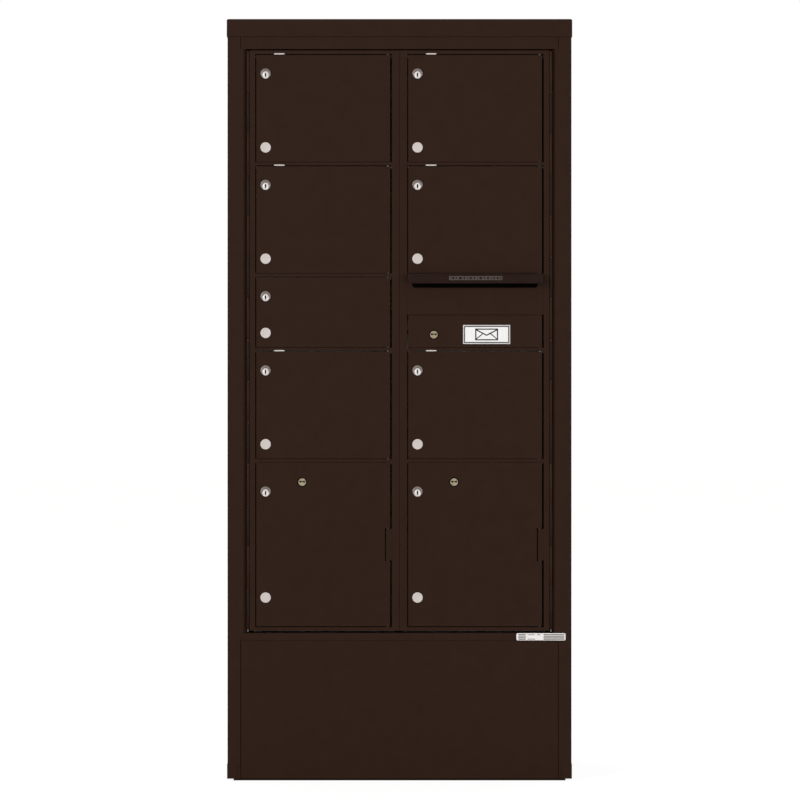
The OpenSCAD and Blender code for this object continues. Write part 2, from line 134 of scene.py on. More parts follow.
# ---- Cabinet ----
# Folded steel sheets in dark bronze powder coat: sides with the front posts,
# back, header, sill, kick panel, base and cap, screwed to each other.

MM = 0.001


def effect(name, inputs, outputs):
    """An empty node group with named inputs and outputs, for use in several materials."""
    group = bpy.data.node_groups.new(name, "ShaderNodeTree")
    for label, kind, value in inputs:
        socket = group.interface.new_socket(label, in_out="INPUT", socket_type=kind)
        socket.default_value = value
    for label in outputs:
        group.interface.new_socket(label, in_out="OUTPUT", socket_type="NodeSocketFloat")
    return group, group.nodes.new("NodeGroupInput"), group.nodes.new("NodeGroupOutput")


# Baked powder: a fine orange peel, a cloudy tone and a slow drift over each sheet
peel, given, out = effect(
    "baked_powder",
    [("Grain", "NodeSocketFloat", 620.0), ("Cloud", "NodeSocketFloat", 26.0)],
    ["Height", "Tone", "Drift"])
spot = put(peel, "TexCoord").outputs["Object"]
fine = put(peel, "TexNoise", {"Vector": spot, "Scale": given.outputs["Grain"],
                              "Detail": 2.0, "Roughness": 0.45})
cloud = put(peel, "TexNoise", {"Vector": spot, "Scale": given.outputs["Cloud"],
                               "Detail": 5.0, "Roughness": 0.6})
drift = put(peel, "TexNoise", {"Vector": spot, "Scale": 2.2, "Detail": 2.0})
peel.links.new(fine.outputs["Fac"], out.inputs["Height"])
peel.links.new(cloud.outputs["Fac"], out.inputs["Tone"])
peel.links.new(drift.outputs["Fac"], out.inputs["Drift"])

# Dust that settles on faces that look up, patchy, and thickest where they are flat
dust, given, out = effect(
    "settled_dust", [("Amount", "NodeSocketFloat", 0.25)], ["Mask"])
facing = put(dust, "SeparateXYZ", {0: put(dust, "NewGeometry").outputs["Normal"]})
level = put(dust, "MapRange", {"Value": facing.outputs["Z"], "From Min": 0.6,
                               "From Max": 1.0, "To Max": 1.0})
spot = put(dust, "TexCoord").outputs["Object"]
patch = put(dust, "TexNoise", {"Vector": spot, "Scale": 9.0, "Detail": 6.0,
                               "Roughness": 0.65})
patch = put(dust, "MapRange", {"Value": patch.outputs["Fac"], "From Min": 0.35,
                               "From Max": 0.75, "To Min": 0.35})
both = put(dust, "Math", {0: level.outputs["Result"], 1: patch.outputs["Result"]},
           operation="MULTIPLY")
both = put(dust, "Math", {0: both.outputs[0], 1: given.outputs["Amount"]},
           operation="MULTIPLY")
dust.links.new(both.outputs[0], out.inputs["Mask"])


def shaded(name, **fixed):
    """A new material with one Principled shader, whose fixed sockets are set here."""
    material = bpy.data.materials.new(name)
    material.use_nodes = True
    tree = material.node_tree
    tree.nodes.clear()
    shader = put(tree, "BsdfPrincipled",
                 {label.replace("_", " "): value for label, value in fixed.items()})
    put(tree, "OutputMaterial", {"Surface": shader.outputs[0]})
    return material, tree, shader


def between(tree, share, low, high):
    """A number that runs from low to high as share runs over the middle of a noise."""
    return put(tree, "MapRange", {"Value": share, "From Min": 0.3, "From Max": 0.7,
                                  "To Min": low, "To Max": high}).outputs["Result"]


def blend(tree, share, first, second):
    """A colour between two colours; each is three numbers or a socket."""
    mix = put(tree, "Mix", data_type="RGBA")
    for socket, value in ((mix.inputs[0], share), (mix.inputs[6], first),
                          (mix.inputs[7], second)):
        if isinstance(value, bpy.types.NodeSocket):
            tree.links.new(value, socket)
        elif isinstance(value, tuple):
            socket.default_value = (*value, 1)
        else:
            socket.default_value = value
    return mix.outputs[2]


def powder_coat(name, deep, light, grain):
    """Satin powder coat: two near tones mixed by the cloud, peel in the bump, dust on top."""
    coat, tree, shader = shaded(name, Specular_IOR_Level=0.13)
    powder = put(tree, "Group", node_tree=peel)
    powder.inputs["Grain"].default_value = grain
    tone = blend(tree, between(tree, powder.outputs["Tone"], 0.0, 1.0), deep, light)
    settled = put(tree, "Group", node_tree=dust).outputs["Mask"]
    colour = blend(tree, settled, tone, (0.16, 0.145, 0.125))
    rough = between(tree, powder.outputs["Drift"], 0.44, 0.52)
    relief = put(tree, "Bump", {"Height": powder.outputs["Height"], "Strength": 0.22,
                                "Distance": 0.0002})
    tree.links.new(colour, shader.inputs["Base Color"])
    tree.links.new(rough, shader.inputs["Roughness"])
    tree.links.new(relief.outputs[0], shader.inputs["Normal"])
    return coat


def paint(material, *names):
    """Gives the material to each of these nodes of the frame."""
    for name in names:
        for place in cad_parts[name].material_slots:
            place.material = material


def rounded(thing, width, angle, harden=True):
    """Rounds a piece's edges that turn by more than the angle, in degrees."""
    edge = thing.modifiers.new("edge", "BEVEL")
    edge.width = width
    edge.segments = 2
    edge.limit_method = "ANGLE"
    edge.angle_limit = math.radians(angle)
    edge.harden_normals = harden


def soften(width, *names):
    """Rounds the edges of these nodes: doubles welded, flat faces joined, edges bevelled."""
    for name in names:
        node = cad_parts[name]
        weld = node.modifiers.new("weld", "WELD")
        weld.merge_threshold = 0.000004
        flat = node.modifiers.new("flat", "DECIMATE")
        flat.decimate_type = "DISSOLVE"
        flat.angle_limit = math.radians(1)
        rounded(node, width, 32)


bronze_coat = powder_coat("bronze_coat", (0.0262, 0.0104, 0.0048),
                          (0.0294, 0.0120, 0.0060), 620.0)
shell = ["side_panel_left", "side_panel_right", "back_panel", "header_rail",
         "sill_rail", "kick_panel", "base_pan", "corner_shoes", "top_cap"]
paint(bronze_coat, *shell)
soften(0.5 * MM, *shell)


# ---- Compartments ----
# Walls, floors and back sheet of the module, riveted from aluminium sheet with
# the mill's finish, its rolling marks running front to back.

# Rolled or brushed metal: fine lines along one direction, and a slow stain
brushing, given, out = effect(
    "brushed_lines", [("Stretch", "NodeSocketVector", (500.0, 8.0, 500.0))],
    ["Height", "Tone", "Stain"])
spot = put(brushing, "TexCoord").outputs["Object"]
along = put(brushing, "VectorMath", {0: spot, 1: given.outputs["Stretch"]},
            operation="MULTIPLY")
lines = put(brushing, "TexNoise", {"Vector": along.outputs[0], "Scale": 1.0,
                                   "Detail": 3.0, "Roughness": 0.6})
coarse = put(brushing, "TexNoise", {"Vector": along.outputs[0], "Scale": 0.21,
                                    "Detail": 2.0})
stain = put(brushing, "TexNoise", {"Vector": spot, "Scale": 14.0, "Detail": 5.0,
                                   "Roughness": 0.62})
brushing.links.new(lines.outputs["Fac"], out.inputs["Height"])
brushing.links.new(coarse.outputs["Fac"], out.inputs["Tone"])
brushing.links.new(stain.outputs["Fac"], out.inputs["Stain"])


def bare_metal(name, deep, light, stretch, smooth, dull, metallic=1.0, dusty=0.0):
    """Bare or plated metal: tone from the brushing, roughness from the stain."""
    metal, tree, shader = shaded(name, Metallic=metallic)
    work = put(tree, "Group", node_tree=brushing)
    work.inputs["Stretch"].default_value = stretch
    colour = blend(tree, between(tree, work.outputs["Tone"], 0.0, 1.0), deep, light)
    if dusty:
        settled = put(tree, "Group", node_tree=dust)
        settled.inputs["Amount"].default_value = dusty
        colour = blend(tree, settled.outputs["Mask"], colour, (0.30, 0.28, 0.25))
    rough = between(tree, work.outputs["Stain"], smooth, dull)
    relief = put(tree, "Bump", {"Height": work.outputs["Height"], "Strength": 0.12,
                                "Distance": 0.0001})
    tree.links.new(colour, shader.inputs["Base Color"])
    tree.links.new(rough, shader.inputs["Roughness"])
    tree.links.new(relief.outputs[0], shader.inputs["Normal"])
    return metal


mill_sheet = bare_metal("mill_sheet", (0.56, 0.56, 0.55), (0.68, 0.68, 0.67),
                        (500.0, 8.0, 500.0), 0.34, 0.5, dusty=0.3)
module = ["compartment_walls", "shelves", "module_back"]
paint(mill_sheet, *module)
soften(0.3 * MM, *module)


# ---- Master hinges ----
# Continuous hinges between the posts and the master frames: powder coated leaves and
# knuckles on bright steel pins, whose ends show at the bottom. Leaves and knuckles
# take a darker copy of the bronze coat, painted shade for the shade along the hinge.

# A darker copy of the bronze coat: its lower tone is painted shade. The hinge leaves and the
# rain hood take it.
bronze_coat_painted_shade = powder_coat("bronze_coat_painted_shade", (0.0185, 0.0070, 0.0047),
                           (0.0207, 0.0080, 0.0055), 620.0)
paint(bronze_coat_painted_shade, "master_hinge_leaves")
soften(0.4 * MM, "master_hinge_leaves")

zinc_rod = bare_metal("zinc_rod", (0.24, 0.23, 0.22), (0.34, 0.33, 0.32),
                      (700.0, 700.0, 9.0), 0.32, 0.46, metallic=0.7)
paint(zinc_rod, "master_hinge_pins", "tenant_rod_left", "tenant_rod_right")
soften(0.4 * MM, "master_hinge_pins", "tenant_rod_left", "tenant_rod_right")


# ---- Master frames ----
# Two frames of steel stiles and rails, welded at the corners and powder coated.
# Each hangs on its post's hinge and carries one column of doors.

frames = ["frame_left", "frame_right"]
paint(bronze_coat, *frames)
soften(0.25 * MM, *frames)


# ---- Doors ----
# Shallow pans folded from steel sheet, with crisp folds and the same coat. They
# hang on the hinge rod that runs down each column.

keyed = ["l1", "l2", "l3", "l4", "r1", "r2", "r3", "parcel_l", "parcel_r"]
arrowed = ["parcel_l", "parcel_r", "mail"]
doors = ["door_" + name for name in keyed + ["mail"]]
paint(bronze_coat, *doors)
soften(0.35 * MM, *doors)


# ---- Latch of the right master frame ----
# A zinc plated steel handle with two crank pins pushes a rod up and a rod down. It
# turns on a post welded to the frame's inner side, and the rods run in guides. The
# arrow locks' bolts are plated the same way.

plated = bare_metal("plated_steel", (0.44, 0.44, 0.45), (0.58, 0.58, 0.58),
                    (300.0, 300.0, 40.0), 0.3, 0.46)
latch = ["latch_handle", "latch_rod_upper", "latch_rod_lower"]
bolts = ["arrow_bolt_" + name for name in arrowed]
paint(plated, *latch, *bolts)
soften(0.4 * MM, *latch, *bolts)


# ---- Tenant locks ----
# Nickel plated cam locks: a flanged ring with a dished face, polished to a peak
# round its bright plug, and a threaded body, nut and cam behind the door. The plug
# and the dish faces round it are painted near-white as a painted reflection of the
# polished nickel, and the key slot is lined near-black as painted shade.

def turned(*rings, around=72, loop=False):
    """A piece turned about the depth direction, as points and faces.

    A ring is (radius, y, x, z). Its point at angle a is the ring's middle plus
    radius times (sin a, 0, cos a), and the radius or y may change with the angle.
    Rings are joined in order, from the front to the back on an outer face. A
    first and a last ring without radius close as poles, and loop joins the last
    ring to the first.
    """
    a = np.linspace(0, 2 * np.pi, around, endpoint=False)
    r, y, x, z = (np.array([np.broadcast_to(ring[i], around) for ring in rings])
                  for i in range(4))
    grid = np.stack([x + r * np.sin(a), y, z + r * np.cos(a)], axis=-1)
    count = len(rings)
    index = np.arange(count * around).reshape(count, around)
    if not loop:
        index[0] = index[0, 0]
        index[-1] = index[-1, 0]
    after = np.roll(index, -1, axis=1)
    below = np.roll(index, -1, axis=0)
    corner = np.roll(after, -1, axis=0)
    quads = np.stack([index, after, corner, below], axis=-1)
    if not loop:
        quads = quads[:-1]
    return grid.reshape(-1, 3), quads.reshape(-1, 4)


def plate(outline, y0, y1):
    """A flat plate across the depth: an outline of (x, z) points, swept from y0 to y1."""
    xz = np.asarray(outline, float)
    nxt = np.roll(xz, -1, axis=0)
    if (xz[:, 0] * nxt[:, 1] - nxt[:, 0] * xz[:, 1]).sum() < 0:
        xz = xz[::-1]
    count = len(xz)
    points = np.concatenate([np.insert(xz, 1, y, axis=1) for y in (y0, y1)])
    i = np.arange(count)
    j = (i + 1) % count
    sides = np.stack([i, i + count, j + count, j], axis=-1)[:, ::-1]
    return points, [*sides.tolist(), i.tolist(), (i[::-1] + count).tolist()]


def made(name, material, *shapes, bevel=0.0, sharp=35, lining=None, lined=None):
    """One object from several point and face sets, smooth except at sharp edges.

    The test called lined gets the faces' middles as x, y, z, and the faces that
    pass it take the lining as their material.
    """
    points, faces, start = [], [], 0
    for xyz, polygons in shapes:
        for polygon in (np.asarray(polygons).tolist() if isinstance(polygons, np.ndarray)
                        else polygons):
            corners = list(dict.fromkeys(int(c) + start for c in polygon))
            if len(corners) > 2:
                faces.append(corners)
        points.append(xyz)
        start += len(xyz)
    points = np.concatenate(points)
    used = np.zeros(len(points), bool)
    used[[c for face in faces for c in face]] = True
    place = np.cumsum(used) - 1
    mesh = bpy.data.meshes.new(name)
    mesh.from_pydata(points[used].tolist(), [],
                     [[int(place[c]) for c in face] for face in faces])
    mesh.polygons.foreach_set("use_smooth", np.ones(len(faces), bool))
    mesh.set_sharp_from_angle(angle=math.radians(sharp))
    mesh.materials.append(material)
    if lining:
        mesh.materials.append(lining)
        middles = np.empty(3 * len(faces))
        mesh.polygons.foreach_get("center", middles)
        inside = lined(*middles.reshape(-1, 3).T)
        mesh.polygons.foreach_set("material_index", inside.astype(np.int32))
    piece = bpy.data.objects.new(name, mesh)
    bpy.context.scene.collection.objects.link(piece)
    if bevel:
        rounded(piece, bevel, sharp)
    return piece


def arc(x, z, radius, start, end, steps):
    """Points on an arc about (x, z); the angle is from +Z towards +X, in degrees."""
    a = np.radians(np.linspace(start, end, steps))
    return np.stack([x + radius * np.sin(a), z + radius * np.cos(a)], axis=-1)


def middle_of(node):
    """The x and z of the middle of a node's box."""
    low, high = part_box(node)
    return (low.x + high.x) / 2, (low.z + high.z) / 2


face_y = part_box("door_l1")[0].y
round_angle = np.linspace(0, 2 * np.pi, 96, endpoint=False)
lock_nickel = bare_metal("lock_nickel", (0.235, 0.20, 0.185), (0.30, 0.26, 0.24),
                         (900.0, 900.0, 900.0), 0.38, 0.5, metallic=0.5)
# Near-white, mostly non-metallic plug colour: a painted reflection standing in for the
# brightness of polished nickel.
plug_nickel = bare_metal("plug_nickel", (0.90, 0.865, 0.845), (0.97, 0.94, 0.92),
                         (900.0, 900.0, 900.0), 0.26, 0.38, metallic=0.3)
# Near-black lining for the key slots and keyways: painted shade, for the dark inside these
# narrow hollows.
key_soot = bare_metal("key_soot", (0.003, 0.0025, 0.0022), (0.005, 0.0045, 0.004),
                      (900.0, 900.0, 900.0), 0.6, 0.75)

ring_r = 12.25 * MM
plug_r = 7.0 * MM
plug_drop = 4.0 * MM
body_end = 19.0 * MM
cam_y = 20.5 * MM
cam_reach = 29.0 * MM
# The dish is widest above the plug, where its rim runs up to a peak
away = np.abs((round_angle + np.pi) % (2 * np.pi) - np.pi)
dish_r = 9.1 * MM * (1 + 0.13 * np.clip(1 - away / 0.75, 0, 1))
dish_y = (-2.4 + 1.7 * (1 + np.cos(round_angle)) / 2) * MM
# The thread behind the nut is a row of crests and roots
thread_y = np.arange(6.6, 18.6, 0.6) * MM
thread_r = np.where(np.arange(len(thread_y)) % 2, 11.3, 11.7) * MM
# The key slot is a slim, slightly pointed oval, a little above the plug's axis
slot_r = ((np.abs(np.sin(round_angle)) / 1.65) ** 1.8
          + (np.abs(np.cos(round_angle)) / 5.7) ** 1.8) ** (-1 / 1.8) * MM
slot_rise = 0.9 * MM
slot_floor = 1.5 * MM
# Distance to the side of the hexagon with the given width, at each angle
across = round_angle % (np.pi / 3) - np.pi / 6
nut_r = 14.2 * MM / np.cos(across)
screw_r = 3.5 * MM / np.cos(across)

for name in keyed:
    x, z = middle_of("lock_barrel_" + name)
    inner = (plug_r + 0.1 * MM, face_y + dish_y, x, z - plug_drop)
    outer = (dish_r, face_y - 2.35 * MM, x, z - 2.0 * MM)
    # The dish slopes evenly from the plug out to its rim
    slope = [[a + (b - a) * share for a, b in zip(inner, outer)]
             for share in (0, 0.2, 0.4, 0.6, 0.8, 1)]
    ring = turned(
        (plug_r + 0.05 * MM, face_y + body_end, x, z - plug_drop),
        (plug_r + 0.05 * MM, face_y + dish_y + 0.5 * MM, x, z - plug_drop),
        *slope,
        (dish_r + 0.06 * MM, face_y - 2.5 * MM, x, z - 1.97 * MM),
        (11.25 * MM, face_y - 2.6 * MM, x, z),
        (12.0 * MM, face_y - 2.1 * MM, x, z),
        (ring_r, face_y - 1.3 * MM, x, z),
        (ring_r, face_y - 0.05 * MM, x, z),
        (11.7 * MM, face_y, x, z),
        (11.7 * MM, face_y + 6.0 * MM, x, z),
        *zip(thread_r, face_y + thread_y, np.full(20, x), np.full(20, z)),
        (11.2 * MM, face_y + body_end, x, z),
        around=96, loop=True)
    nut = turned(
        (11.85 * MM, face_y + 6.0 * MM, x, z), (11.85 * MM, face_y + 2.6 * MM, x, z),
        (nut_r - 0.5 * MM, face_y + 2.6 * MM, x, z), (nut_r, face_y + 3.0 * MM, x, z),
        (nut_r, face_y + 5.6 * MM, x, z), (nut_r - 0.5 * MM, face_y + 6.0 * MM, x, z),
        around=96, loop=True)
    # The ring's dish faces round the plug take the plug's near-white colour: painted
    # reflection.
    barrel = made("tenant_lock_" + name, lock_nickel, ring, nut, sharp=40,
                  lining=plug_nickel, lined=lambda px, py, pz: (
                      (py < face_y - 0.3 * MM) & (((px - x) / (7.35 * MM)) ** 2
                      + ((pz - z + plug_drop) / (9.0 * MM)) ** 2 < 1)))
    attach(barrel, "door_" + name)
    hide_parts("lock_barrel_" + name)

    z = z - plug_drop
    core = turned(
        (0, face_y + slot_floor, x, z + slot_rise),
        (slot_r, face_y + slot_floor, x, z + slot_rise),
        (slot_r, face_y - 2.8 * MM, x, z + slot_rise),
        (slot_r + 0.15 * MM, face_y - 3.0 * MM, x, z + slot_rise),
        (6.75 * MM - (6.6 * MM - slot_r) * 0.1, face_y - 3.0 * MM, x, z),
        (6.75 * MM, face_y - 2.8 * MM, x, z), (plug_r, face_y - 2.3 * MM, x, z),
        (plug_r, face_y + cam_y, x, z), (0, face_y + cam_y, x, z), around=96)
    cam = plate(np.concatenate([
        arc(x, z, 7.0 * MM, -134.4, 134.4, 33),
        arc(x, z - cam_reach, 5.0 * MM, 90, 270, 17)]),
        face_y + cam_y, face_y + cam_y + 2.5 * MM)
    screw = turned(
        (0, face_y + cam_y + 2.4 * MM, x, z), (screw_r, face_y + cam_y + 2.4 * MM, x, z),
        (screw_r, face_y + cam_y + 3.5 * MM, x, z),
        (3.2 * MM, face_y + cam_y + 4.0 * MM, x, z),
        (0, face_y + cam_y + 4.0 * MM, x, z), around=96)
    # The plug's near-white is painted reflection; its slot takes the near-black lining, painted
    # shade.
    plug = made("tenant_plug_" + name, plug_nickel, core, cam, screw, bevel=0.15 * MM,
                lining=key_soot, lined=lambda px, py, pz: (
                    (np.abs(py - face_y) < 2.9 * MM)
                    & (np.hypot(px - x, pz - z) < 6.7 * MM)))
    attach(plug, "lock_plug_" + name)
    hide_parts("lock_plug_" + name)


# ---- Arrow locks ----
# Brass plugs with a keyway across them, set back in the door's round hole, in a
# phosphated case behind it. The case is painted near-black and the keyway lined
# near-black, both painted shade for the dark gap and hollow. A crank pin on the
# plug's end lifts the bolt.

# Near-black for the cases: painted shade, for the shadow gap round each plug.
arrow_case_painted_shade = bare_metal("arrow_case_painted_shade", (0.014, 0.012, 0.009), (0.022, 0.019, 0.015),
                       (400.0, 400.0, 400.0), 0.5, 0.65, metallic=0.9)
lock_brass = bare_metal("lock_brass", (0.42, 0.345, 0.22), (0.54, 0.455, 0.31),
                        (800.0, 800.0, 800.0), 0.36, 0.52, metallic=0.5)
cases = ["arrow_case_" + name for name in arrowed]
paint(arrow_case_painted_shade, *cases)
soften(0.4 * MM, *cases)

brass_r = 9.1 * MM
# The keyway is narrow at the middle, has a round lobe at both ends, and lies a
# little above the plug's axis
lobe_r = 2.4 * MM
lobe_x = 4.5 * MM
key_rise = 1.0 * MM
key_deep = 4.5 * MM
brass_end = 18.1 * MM
crank = 6.0 * MM
rise = np.abs(np.cos(round_angle))
# Where a ray meets a lobe the keyway ends there, and elsewhere at the narrow slot
chord = lobe_r ** 2 - (lobe_x * rise) ** 2
keyway_r = np.where(chord > 0, lobe_x * np.sqrt(1 - rise ** 2) + np.sqrt(np.abs(chord)),
                    0.55 * MM / np.maximum(rise, 0.2))
for name in arrowed:
    low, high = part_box("arrow_plug_" + name)
    x, z = middle_of("arrow_plug_" + name)
    y = low.y
    core = turned(
        (0, y + key_deep, x, z + key_rise), (keyway_r, y + key_deep, x, z + key_rise),
        (keyway_r, y + 0.35 * MM, x, z + key_rise),
        (keyway_r + 0.2 * MM, y + 0.1 * MM, x, z + key_rise),
        (7.3 * MM, y + 0.1 * MM, x, z), (7.7 * MM, y, x, z),
        (8.6 * MM, y + 0.05 * MM, x, z), (brass_r, y + 0.6 * MM, x, z),
        (brass_r, y + brass_end, x, z), (0, y + brass_end, x, z), around=96)
    pin = turned(
        (0, y + brass_end - 0.5 * MM, x, z - crank),
        (1.5 * MM, y + brass_end - 0.5 * MM, x, z - crank),
        (1.5 * MM, high.y - 0.3 * MM, x, z - crank),
        (1.2 * MM, high.y, x, z - crank), (0, high.y, x, z - crank), around=24)
    # The keyway's floor and walls take the near-black lining: painted shade.
    plug = made("arrow_key_plug_" + name, lock_brass, core, pin, sharp=40,
                lining=key_soot, lined=lambda px, py, pz: (
                    (np.abs(py - y - 2.5 * MM) < 2.1 * MM)
                    & (np.hypot(px - x, pz - z - key_rise) < 7.0 * MM)))
    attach(plug, "arrow_plug_" + name)
    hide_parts("arrow_plug_" + name)


# ---- Mail slot ----
# A slotted sheet in the right master frame under a bent rain hood, which wraps
# round to the frame at both ends and has rounded lower corners.

paint(bronze_coat, "slot_panel")
soften(0.5 * MM, "slot_panel")

low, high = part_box("slot_hood")
hood_mid, hood_half = (low.x + high.x) / 2, (high.x - low.x) / 2 - 0.3 * MM
hood_deep = high.y - low.y - 0.15 * MM
corner_r = 12.0 * MM
fold_r = 5.0 * MM
# Plan of the hood: out from the frame, round a fold, across, and back again
quarter = np.radians(np.linspace(0, 90, 9))
cheek = np.linspace(0, hood_deep - fold_r, 5)[:-1]
run = np.linspace(fold_r - hood_half, 0, 14)[1:]
plan_x = np.concatenate([np.full(4, -hood_half),
                         fold_r * (1 - np.cos(quarter)) - hood_half, run])
plan_d = np.concatenate([cheek, hood_deep - fold_r + fold_r * np.sin(quarter),
                         np.full(13, hood_deep)])
plan_x = np.concatenate([plan_x, -plan_x[-2::-1]])
plan_d = np.concatenate([plan_d, plan_d[-2::-1]])
# Section of the hood, bottom to top: share of the full depth and share of the height
section_d = np.array([1, 1, 1, 1, 0.998, 0.985, 0.95, 0.895, 0.82, 0.73, 0.55, 0.36,
                      0.16, 0])
section_z = np.array([0, 0.2, 0.4, 0.58, 0.69, 0.77, 0.85, 0.905, 0.937, 0.957, 0.97,
                      0.98, 0.987, 0.99])
# The lower edge rises by a quarter circle towards both ends
lift = corner_r - np.sqrt(corner_r ** 2
                          - np.clip(corner_r - hood_half + np.abs(plan_x), 0, corner_r) ** 2)
hood_low = low.z + lift
points = np.stack([
    np.broadcast_to(hood_mid + plan_x, (len(section_d), len(plan_x))),
    high.y - section_d[:, None] * plan_d,
    hood_low + section_z[:, None] * (high.z - hood_low)], axis=-1)
index = np.arange(points.shape[0] * points.shape[1]).reshape(points.shape[:2])
quads = np.stack([index[:-1, :-1], index[:-1, 1:], index[1:, 1:], index[1:, :-1]], -1)
# The hood takes the darker copy of the coat: painted shade under its downward-facing front.
hood = made("rain_hood", bronze_coat_painted_shade, (points.reshape(-1, 3), quads.reshape(-1, 4)),
            sharp=60)
wall = hood.modifiers.new("wall", "SOLIDIFY")
wall.thickness = 1.8 * MM
wall.offset = -1
wall.use_even_offset = True
rounded(hood, 0.4 * MM, 50, harden=False)
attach(hood, "master_right")
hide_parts("slot_hood")


# ---- Slot flap ----
# A near-black flap clamped behind the slot by its thick upper bead, shaped like a
# rubber baffle; its black with almost no gloss is painted shade for the dark inside
# the slot. Its skirt hangs down past the slot's lower edge.

def printed(name, deep, light, rough, gloss=0.5):
    """Plain plastic, vinyl or ink: a cloudy tone and a very fine grain."""
    plastic, tree, shader = shaded(name, Specular_IOR_Level=gloss)
    powder = put(tree, "Group", node_tree=peel)
    powder.inputs["Grain"].default_value = 1500.0
    tone = between(tree, powder.outputs["Tone"], 0.0, 1.0)
    tree.links.new(blend(tree, tone, deep, light), shader.inputs["Base Color"])
    tree.links.new(between(tree, powder.outputs["Drift"], rough - 0.05, rough + 0.05),
                   shader.inputs["Roughness"])
    relief = put(tree, "Bump", {"Height": powder.outputs["Height"], "Strength": 0.08,
                                "Distance": 0.0001})
    tree.links.new(relief.outputs[0], shader.inputs["Normal"])
    return plastic


# Near-black with almost no gloss: painted shade, for the dark inside the slot.
slot_shade_rubber = printed("flap_rubber_painted_shade", (0.0012, 0.0010, 0.0009), (0.0022, 0.0019, 0.0017), 0.85,
                 gloss=0.02)
low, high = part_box("slot_panel")
slot_mid = (low.x + high.x) / 2 - 1.3 * MM
flap_half = 152.5 * MM
flap_y = low.y + 2.15 * MM
flap_top = high.z - 2.0 * MM
# Section of the flap from the top front, down the skirt and up its back
flap_d = np.array([0, 0, 0.2, 0.3, 0.5, 0.7, 0.9, 1.7, 2.1, 2.0, 2.2, 2.9, 3.2, 3.2]) * MM
flap_z = np.array([0, -6, -7.5, -14, -20, -26, -31, -31.4, -30.4, -20, -9, -7, -5, 0]) * MM
across_x = slot_mid + np.linspace(-flap_half, flap_half, 25)
size = (len(across_x), len(flap_d))
skirt = np.stack([np.broadcast_to(across_x[:, None], size),
                  np.broadcast_to(flap_y + flap_d, size),
                  np.broadcast_to(flap_top + flap_z, size)], axis=-1)
index = np.arange(size[0] * size[1]).reshape(size)
step = np.roll(index, -1, axis=1)
quads = np.stack([index[:-1], step[:-1], step[1:], index[1:]], axis=-1).reshape(-1, 4)
flap = made("slot_flap", slot_shade_rubber, (skirt.reshape(-1, 3), [
    *quads.tolist(), index[0][::-1].tolist(), index[-1].tolist()]), sharp=50)
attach(flap, "master_right")


# ---- Hood marking ----
# A row of plain hollow blocks in a dull pale ink, screen printed along the front
# of the rain hood.

def frame_path(x0, z0, x1, z1, inset):
    """The four corners of a rectangle, moved in by a distance on every side."""
    return [(x0 + inset, z0 + inset), (x0 + inset, z1 - inset),
            (x1 - inset, z1 - inset), (x1 - inset, z0 + inset)]


def stroke(path, width, y0, y1, closed=False):
    """A flat ribbon along a path of (x, z) points, as a plate with mitred corners.

    Each point moves to both sides along the mean of its two segments' normals,
    by half the width over the cosine of half the turn.
    """
    path = np.asarray(path, float)
    ahead = np.roll(path, -1, axis=0) - path
    if not closed:
        ahead[-1] = ahead[-2]
    ahead = ahead / np.linalg.norm(ahead, axis=1, keepdims=True)
    behind = np.roll(ahead, 1, axis=0)
    if not closed:
        behind[0] = ahead[0]
    normal = np.stack([-(ahead + behind)[:, 1], (ahead + behind)[:, 0]], axis=-1)
    normal = normal / (normal ** 2).sum(axis=1, keepdims=True) * 2
    left, right = path + normal * width / 2, path - normal * width / 2
    if not closed:
        return plate(np.concatenate([left, right[::-1]]), y0, y1)
    count = len(path)
    points = np.concatenate([np.insert(side, 1, y, axis=1)
                             for y in (y0, y1) for side in (left, right)])
    i = np.arange(count)
    j = (i + 1) % count
    a, b, c, d = 0, count, 2 * count, 3 * count
    faces = np.concatenate([
        np.stack([i + a, i + b, j + b, j + a], -1), np.stack([i + d, i + c, j + c, j + d], -1),
        np.stack([i + c, i + a, j + a, j + c], -1), np.stack([i + b, i + d, j + d, j + b], -1)])
    turn = path[:, 0] * np.roll(path, -1, axis=0)[:, 1]
    turn = (turn - np.roll(path, -1, axis=0)[:, 0] * path[:, 1]).sum()
    return points, faces[:, ::-1] if turn > 0 else faces


low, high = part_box("slot_hood")
pale_ink = printed("pale_ink", (0.120, 0.100, 0.090), (0.150, 0.128, 0.117), 0.5)
front_y = high.y - hood_deep
mark_z = low.z + 12.6 * MM
mark_half = 3.9 * MM
mark_gap = 2.5 * MM
block_lengths = np.array([3.4, 6.8, 4.0, 8.6, 5.2, 3.8, 7.6, 5.4,
                          3.4, 8.2, 4.6, 6.6, 3.8, 5.4, 6.2, 4.8]) * MM
blocks = []
x = 119.4 * MM
for length in block_lengths:
    blocks.append(stroke(
        frame_path(x, mark_z - mark_half, x + length, mark_z + mark_half, 0), 1.1 * MM,
        front_y - 0.12 * MM, front_y + 0.05 * MM, closed=True))
    x += length + mark_gap
marking = made("hood_marking", pale_ink, *blocks)
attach(marking, "master_right")


# ---- Sign on the collection door ----
# A white enamelled plate with a pale rim, a dark line round it and a plain
# envelope drawing, held on by tape.

